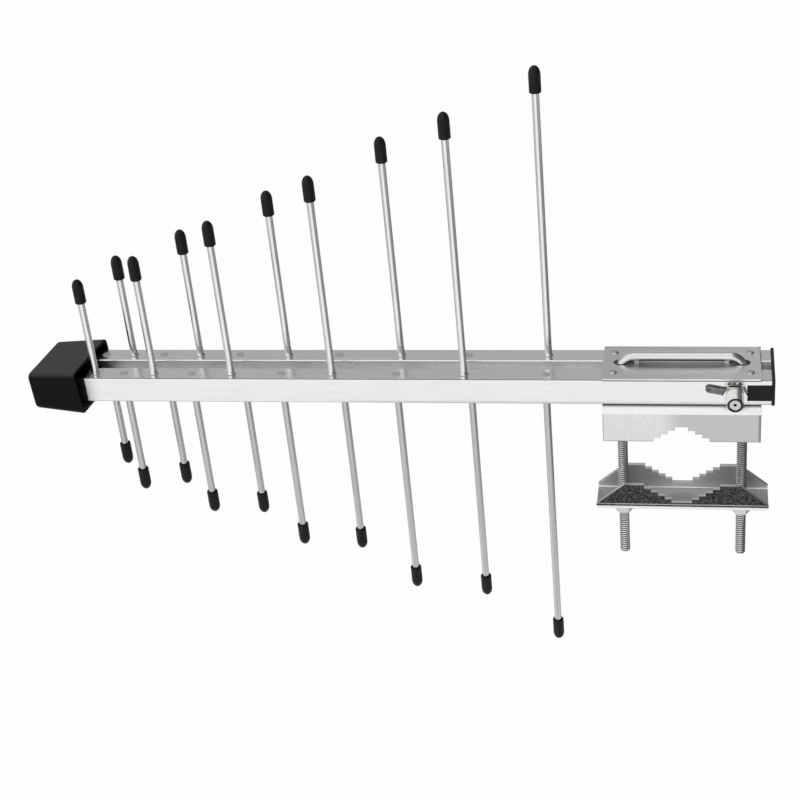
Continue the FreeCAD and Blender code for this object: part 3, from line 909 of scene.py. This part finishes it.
    def joined(self, pieces: list[Piece]) -> Piece:
        """Join pieces into the first one and return it."""
        self.select_only(pieces[0])
        for piece in pieces[1:]:
            piece.select_set(True)
        bpy.ops.object.join()
        return pieces[0]

    def rounded(self, piece: Piece, edge: float) -> None:
        """Round the sharp edges of a piece by a width in metres."""
        self.modified(
            piece, "BEVEL", width=edge, segments=self.edge_segments, limit_method="ANGLE",
            angle_limit=math.radians(self.edge_angle), use_clamp_overlap=True,
        )

    def rim_rounded(self, piece: Piece, edge: float) -> None:
        """Roll over the outer rim of a flat sheet's top face.

        Args:
            piece: The sheet, lying flat.
            edge: Width of the rolled rim in metres.
        """
        with self.editing(piece):
            bpy.ops.mesh.select_mode(type="EDGE")
            bpy.ops.mesh.select_all(action="DESELECT")
        places = [vertex.co for vertex in piece.data.vertices]
        top = max(place.z for place in places)
        reach = [max(abs(place[axis]) for place in places) for axis in (0, 1)]
        near = 0.01 * MM
        for side in piece.data.edges:
            ends = [places[index] for index in side.vertices]
            on_top = all(end.z > top - near for end in ends)
            on_rim = any(all(abs(end[axis]) > reach[axis] - near for end in ends) for axis in (0, 1))
            side.select = on_top and on_rim
        bpy.ops.object.mode_set(mode="EDIT")
        bpy.ops.mesh.bevel(offset=edge, segments=self.rim_segments, affect="EDGES")
        bpy.ops.mesh.select_mode(type="VERT")
        bpy.ops.object.mode_set(mode="OBJECT")

    def clean_copy(self, node: str) -> Piece:
        """Copy a node's mesh and join its loose triangles.

        Args:
            node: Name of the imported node.

        Returns:
            The copy, whose flat faces are whole.
        """
        piece = self.copy_of(self.nodes[node], node + "_shown")
        with self.editing(piece):
            bpy.ops.mesh.remove_doubles(threshold=self.loose)
            bpy.ops.mesh.dissolve_limited(angle_limit=math.radians(self.flat_angle))
        return piece

    def smooth(self, piece: Piece, angle: float = 32.0) -> None:
        """Shade a piece smooth up to an angle in degrees, with its large faces kept flat."""
        self.select_only(piece)
        bpy.ops.object.shade_smooth_by_angle(angle=math.radians(angle))
        self.modified(piece, "WEIGHTED_NORMAL", keep_sharp=True)

    def stand_in(self, piece: Piece, node: str, finish: Finish | None = None) -> None:
        """Let a piece replace a node, with the node's slot, finish and body.

        Args:
            piece: The new piece.
            node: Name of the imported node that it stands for.
            finish: A finish of its own, in place of the slot's.
        """
        slot = self.slots[node]
        body = "jaw" if node in self.jaw_nodes else "antenna"
        piece.data.materials.clear()
        piece.data.materials.append(self.materials[finish or self.finishes[slot]])
        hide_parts(node)
        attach(piece, body)
        log.info("%s: %d faces, %s, on %s", piece.name, len(piece.data.polygons), slot, body)

    def paint_nodes(self) -> None:
        """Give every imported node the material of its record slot."""
        for node, slot in self.slots.items():
            mesh = self.nodes[node].data
            for index in range(len(mesh.materials)):
                mesh.materials[index] = self.materials[self.finishes[slot]]


def middle_of(node: str) -> Vector:
    """Return the middle of a node's box."""
    low, high = (Vector(corner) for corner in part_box(node))
    return (low + high) / 2


@dataclass
class Dipoles:
    """The twenty rods and their end caps, one of each modelled and then copied."""

    bench: Bench
    count: int = 10
    rod_radius: float = 2.1 * MM
    collar_radius: float = 2.7 * MM
    collar_height: float = 0.9 * MM
    peen_radius: float = 2.6 * MM
    peen_height: float = 0.3 * MM
    peen_outline: tuple[Band, ...] = (
        (0.0, 0.4), (0.45, 0.4), (0.70, 1.0), (0.85, 1.0), (0.97, 0.5), (1.0, 0.0)
    )
    past_boom: float = 3 * MM
    boom_height: float = 16 * MM
    tip_radius: float = 3.35 * MM
    tip_nose: float = 5 * MM
    tip_lip: float = 0.35 * MM
    tip_length: float = 15 * MM
    tip_wall: float = 2 * MM
    boom_z: float = 0.0

    def rod(self) -> Piece:
        """Turn the pattern rod, which reaches just past its collar.

        Returns:
            The pattern, its peened head below and its cut end above.
        """
        half = self.boom_height / 2
        cut_end = half + self.past_boom
        head = [
            (self.peen_radius * out, -half - self.peen_height * down) for out, down in self.peen_outline
        ]
        flare = [
            (self.collar_radius, half),
            (self.collar_radius, half + 0.15 * MM),
            (self.collar_radius - 0.1 * MM, half + 0.3 * MM),
            (self.rod_radius + 0.15 * MM, half + 0.6 * MM),
            (self.rod_radius, half + self.collar_height),
        ]
        tail = [(self.rod_radius, cut_end), (0.0, cut_end)]
        shank = [(self.rod_radius, -half), (self.rod_radius, half)]
        return self.bench.turned("rod_pattern", head + shank + flare + tail)

    def tip(self) -> Piece:
        """Turn the pattern cap.

        Returns:
            The pattern, its mouth at zero height.
        """
        bore = self.rod_radius + 0.03 * MM
        top = self.tip_length
        outline = [
            (0.0, top - self.tip_wall),
            (bore, top - self.tip_wall),
            (bore, 0.25 * MM),
            (bore + 0.2 * MM, 0.0),
            (self.tip_radius - self.tip_lip, 0.0),
            (self.tip_radius - 0.3 * self.tip_lip, 0.3 * self.tip_lip),
            (self.tip_radius, self.tip_lip),
        ]
        for degrees in range(0, 91, 10):
            angle = math.radians(degrees)
            below_top = self.tip_nose * (1 - math.sin(angle))
            outline.append((self.tip_radius * math.cos(angle), top - below_top))
        return self.bench.turned("tip_pattern", outline)

    def placed(self, pattern: Piece, node: str, lift: float, way: Way) -> Piece:
        """Copy a pattern to a node's axis, pointing up or down.

        Args:
            pattern: The piece to copy.
            node: Name of the node that the copy stands for.
            lift: Height of the pattern's zero from the boom's middle.
            way: Direction of the copy.

        Returns:
            The placed copy.
        """
        piece = self.bench.copy_of(pattern, node + "_shown")
        middle = middle_of(node)
        turn = Matrix.Identity(4) if way is Way.UP else Matrix.Rotation(math.pi, 4, "X")
        base = Vector((middle.x, middle.y, self.boom_z))
        piece.data.transform(Matrix.Translation(base) @ turn @ Matrix.Translation((0, 0, lift)))
        return piece

    def pair(self, rod: Piece, tip: Piece, number: int, way: Way) -> None:
        """Set one rod to its length and put it and its cap in place.

        Args:
            rod: The pattern rod.
            tip: The pattern cap.
            number: Number of the dipole.
            way: Which half of the dipole this is.
        """
        label = f"{number:02d}_{way.name.lower()}"
        low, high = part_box("tip_" + label)
        outer = high[2] if way is Way.UP else low[2]
        reach = abs(outer - self.boom_z)
        cut_end = self.boom_height / 2 + self.past_boom
        shaft = self.placed(rod, "rod_" + label, 0.0, way)
        for vertex in shaft.data.vertices:
            if (vertex.co.z - self.boom_z) * way.value > cut_end - self.past_boom / 2:
                vertex.co.z += (reach - self.tip_wall - cut_end) * way.value
        cap = self.placed(tip, "tip_" + label, reach - self.tip_length, way)
        for piece, node in ((shaft, "rod_" + label), (cap, "tip_" + label)):
            self.bench.smooth(piece, self.bench.turned_angle)
            self.bench.stand_in(piece, node)

    def build(self) -> None:
        """Make every rod and cap."""
        self.boom_z = middle_of("boom_near").z
        rod = self.rod()
        tip = self.tip()
        for number in range(1, self.count + 1):
            for way in Way:
                self.pair(rod, tip, number, way)
        for pattern in (rod, tip):
            bpy.data.objects.remove(pattern)


@dataclass
class Structure:
    """The booms, the moulded ends, the clamp's sheets, nuts and rivets, and the socket's small parts."""

    bench: Bench
    edges_mm: dict[str, float] = field(default_factory=lambda: {
        "boom_near": 0.12,
        "boom_far": 0.12,
        "front_cap": 0.3,
        "rear_plug": 0.25,
        "top_plate": 0.25,
        "plate_rivets": 0.15,
        "upper_bracket": 0.25,
        "lower_jaw": 0.3,
        "clamp_nuts": 0.3,
        "ground_tag": 0.12,
        "star_washer": 0.08,
        "socket_insulator": 0.15,
    })
    own_finishes: dict[str, Finish] = field(default_factory=lambda: {
        "lower_jaw": JAW_STEEL,
        "plate_rivets": RIVET_STEEL,
        "rear_plug": PLUG_PLASTIC,
    })
    plate_rim: float = 0.8 * MM

    def build(self) -> None:
        """Round the edges of every listed node and dress it."""
        for node, edge in self.edges_mm.items():
            piece = self.bench.clean_copy(node)
            if node == "top_plate":
                self.bench.rim_rounded(piece, self.plate_rim)
            self.bench.rounded(piece, edge * MM)
            self.bench.smooth(piece)
            self.bench.stand_in(piece, node, self.own_finishes.get(node))


@dataclass
class Bolt:
    """The U-bolt: a smooth bent bar with a rolled thread on each leg."""

    bench: Bench
    crest: float = 3 * MM
    root: float = 2.35 * MM
    pitch: float = 1.5 * MM
    thread_length: float = 97 * MM

    def build(self) -> None:
        """Saw the plain legs off the bar and join threaded ones to it."""
        low, high = (Vector(corner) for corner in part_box("u_bolt"))
        top = low.z + self.thread_length
        bar = self.bench.clean_copy("u_bolt")
        self.bench.sawn(bar, top, Way.DOWN)
        self.bench.smooth(bar)
        thread = (self.crest, self.root, self.pitch, self.thread_length)
        pattern = self.bench.threaded("thread_pattern", *thread)
        self.bench.smooth(pattern, self.bench.thread_angle)
        reach = (high.x - low.x) / 2 - self.crest
        flip = Matrix.Rotation(math.pi, 4, "X")
        legs = []
        for side in (-1, 1):
            leg = self.bench.copy_of(pattern, f"leg_{side}")
            leg.data.transform(Matrix.Translation((side * reach, 0.0, top)) @ flip)
            legs.append(leg)
        bpy.data.objects.remove(pattern)
        bolt = self.bench.joined([bar, *legs])
        self.bench.stand_in(bolt, "u_bolt")


@dataclass
class AerialSocket:
    """The socket's body: hexagonal flange, threaded barrel and bore."""

    bench: Bench
    crest: float = 4.76 * MM
    root: float = 4.28 * MM
    pitch: float = 0.79 * MM
    bore: float = 3.1 * MM
    flange_out: float = 3.7 * MM
    stub: float = 0.05 * MM
    past: float = 1 * MM
    edge: float = 0.25 * MM
    mouth: float = 0.4 * MM

    def build(self) -> None:
        """Cut the plain barrel off just outside the flange and put a threaded one in its place."""
        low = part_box("socket_body")[0]
        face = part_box("boom_near")[0][1] - self.flange_out
        length = face - low[1]
        middle = middle_of("socket_body")
        seat = Matrix.Translation((middle.x, face, middle.z)) @ Matrix.Rotation(math.pi / 2, 4, "X")
        body = self.bench.clean_copy("socket_body")
        reach = self.crest + self.past
        end = length + self.past
        outline = [(0.0, self.stub), (reach, self.stub), (reach, end), (0.0, end)]
        waste = self.bench.turned("waste", outline, sides=24)
        waste.data.transform(seat)
        self.bench.cut_by(body, waste)
        self.bench.rounded(body, self.edge)
        self.bench.smooth(body)
        barrel = self.bench.threaded("barrel", self.crest, self.root, self.pitch, length)
        drill = self.bench.turned("drill", [
            (0.0, -self.past),
            (self.bore, -self.past),
            (self.bore, length - self.mouth),
            (self.bore + 2 * self.mouth, length + self.mouth),
            (0.0, length + self.mouth),
        ])
        self.bench.cut_by(barrel, drill)
        self.bench.smooth(barrel, self.bench.thread_angle)
        barrel.data.transform(seat)
        socket = self.bench.joined([body, barrel])
        self.bench.stand_in(socket, "socket_body")


@dataclass
class Studio:
    """Camera, floor, one soft lamp and the plain surroundings.

    The metal sees only the floor's soft steps of brightness and those of the surroundings. The
    camera sees both as plain white.
    """

    lens: float = 76.16
    sensor: float = 36.0
    place: Point = (0.0152, -0.8416, 0.5560)
    turn: Point = (58.675, 5.137, 8.983)
    clip: Band = (0.01, 50.0)
    floor_z: float = -0.62
    floor_size: float = 14.0
    floor_color: Point = grey(0.7)
    floor_roughness: float = 0.9
    glow_share: float = 0.97
    floor_right: Ramp = ((0.45, 0.9), 1.0, 0.26)
    floor_left: Ramp = ((-1.5, -0.9), 0.62, 1.0)
    floor_back: Ramp = ((-0.2, 0.7), 1.0, 0.55)
    floor_near: Ramp = ((-1.02, -0.82), 1.0, 0.70)
    floor_under: Ramp = ((-0.58, -0.42), 0.0, 0.30)
    floor_edge: Ramp = ((1.95, 2.4), 0.0, 1.0)
    lamp_place: Point = (-0.5, -0.1, 1.7)
    lamp_aim: Point = (-0.15, 0.0, 0.0)
    lamp_size: float = 1.0
    lamp_power: float = 16.0
    sky_back: Ramp = ((-0.2, 0.5), 1.0, 0.42)
    sky_right: Ramp = ((0.1, 0.5), 1.0, 0.15)

    def camera(self) -> None:
        """Place the camera at the photograph's viewpoint."""
        data = bpy.data.cameras.new("camera")
        data.lens = self.lens
        data.sensor_width = self.sensor
        data.clip_start, data.clip_end = self.clip
        camera = bpy.data.objects.new("camera", data)
        bpy.context.collection.objects.link(camera)
        angles = Euler([math.radians(angle) for angle in self.turn], "XYZ")
        camera.matrix_world = Matrix.Translation(self.place) @ angles.to_matrix().to_4x4()
        bpy.context.scene.camera = camera

    def mirrored_floor(self, sheet: NodeSheet) -> Socket:
        """Brightness of the floor in the metal: bright in front, grey behind and to the right.

        Args:
            sheet: The floor's node tree.

        Returns:
            The brightness, which is 1 far away on all sides.
        """
        place = sheet.axes()
        right = sheet.ramp(place["X"], *self.floor_right)
        sides = sheet.both(right, sheet.ramp(place["X"], *self.floor_left))
        near = sheet.ramp(place["Y"], *self.floor_near)
        front = sheet.math("ADD", near, sheet.ramp(place["Y"], *self.floor_under))
        along = sheet.math("MINIMUM", sheet.ramp(place["Y"], *self.floor_back), front)
        reach = sheet.math("MAXIMUM", sheet.size(place["X"]), sheet.size(place["Y"]))
        return sheet.math("MAXIMUM", sheet.both(sides, along), sheet.ramp(reach, *self.floor_edge))

    def floor(self) -> None:
        """Lay a wide white floor well below the antenna."""
        bpy.ops.object.select_all(action="DESELECT")
        bpy.ops.mesh.primitive_plane_add(size=self.floor_size, location=(0, 0, 0))
        floor = bpy.context.object
        floor.name = "floor"
        floor.data.transform(Matrix.Translation((0, 0, self.floor_z)))
        sheet = NodeSheet("floor_white")
        sheet.inputs["Base Color"].default_value = (*self.floor_color, 1.0)
        sheet.inputs["Roughness"].default_value = self.floor_roughness
        sheet.inputs["Specular IOR Level"].default_value = 0.0
        rays = sheet.add("ShaderNodeLightPath").outputs
        glow = sheet.add("ShaderNodeEmission")
        mix = sheet.add("ShaderNodeMixShader")
        mirrored = sheet.both(rays["Is Glossy Ray"], self.mirrored_floor(sheet))
        sheet.link(sheet.math("MAXIMUM", rays["Is Camera Ray"], mirrored), glow.inputs["Strength"])
        shown = sheet.math("MAXIMUM", rays["Is Camera Ray"], rays["Is Glossy Ray"])
        sheet.link(sheet.math("MULTIPLY", shown, self.glow_share), mix.inputs["Fac"])
        sheet.link(sheet.shader.outputs["BSDF"], mix.inputs[1])
        sheet.link(glow.outputs["Emission"], mix.inputs[2])
        sheet.link(mix.outputs["Shader"], sheet.tree.nodes["Material Output"].inputs["Surface"])
        floor.data.materials.append(sheet.material)

    def lamp(self) -> None:
        """Hang a square soft lamp that the metal doesn't mirror."""
        data = bpy.data.lights.new("top", "AREA")
        data.size = self.lamp_size
        data.energy = self.lamp_power
        lamp = bpy.data.objects.new("top", data)
        lamp.visible_glossy = False
        bpy.context.collection.objects.link(lamp)
        turn = (Vector(self.lamp_aim) - Vector(self.lamp_place)).to_track_quat("-Z", "Y")
        lamp.matrix_world = Matrix.Translation(self.lamp_place) @ turn.to_matrix().to_4x4()

    def surroundings(self) -> None:
        """Fill the world with plain light: pale in front, dimmer behind and to the right."""
        world = bpy.data.worlds.new("studio")
        world.use_nodes = True
        bpy.context.scene.world = world
        nodes = Nodes(world.node_tree)
        background = world.node_tree.nodes["Background"]
        background.inputs["Strength"].default_value = 1.0
        way = nodes.split(nodes.add("ShaderNodeTexCoord").outputs["Generated"])
        shade = nodes.both(nodes.ramp(way["Y"], *self.sky_back), nodes.ramp(way["X"], *self.sky_right))
        seen = nodes.add("ShaderNodeLightPath").outputs["Is Camera Ray"]
        nodes.link(nodes.math("MAXIMUM", shade, seen), background.inputs["Color"])

    def build(self) -> None:
        """Set up the whole studio."""
        bpy.context.scene.view_settings.view_transform = "Standard"
        self.camera()
        self.floor()
        self.surroundings()
        self.lamp()


def main() -> None:
    """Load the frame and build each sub-assembly."""
    logging.basicConfig(level=logging.INFO, format="%(name)s %(message)s")
    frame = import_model()
    bench = Bench(frame)
    bench.paint_nodes()
    Dipoles(bench).build()
    Structure(bench).build()
    Bolt(bench).build()
    AerialSocket(bench).build()
    Studio().build()


if __name__ == "__main__":
    main()
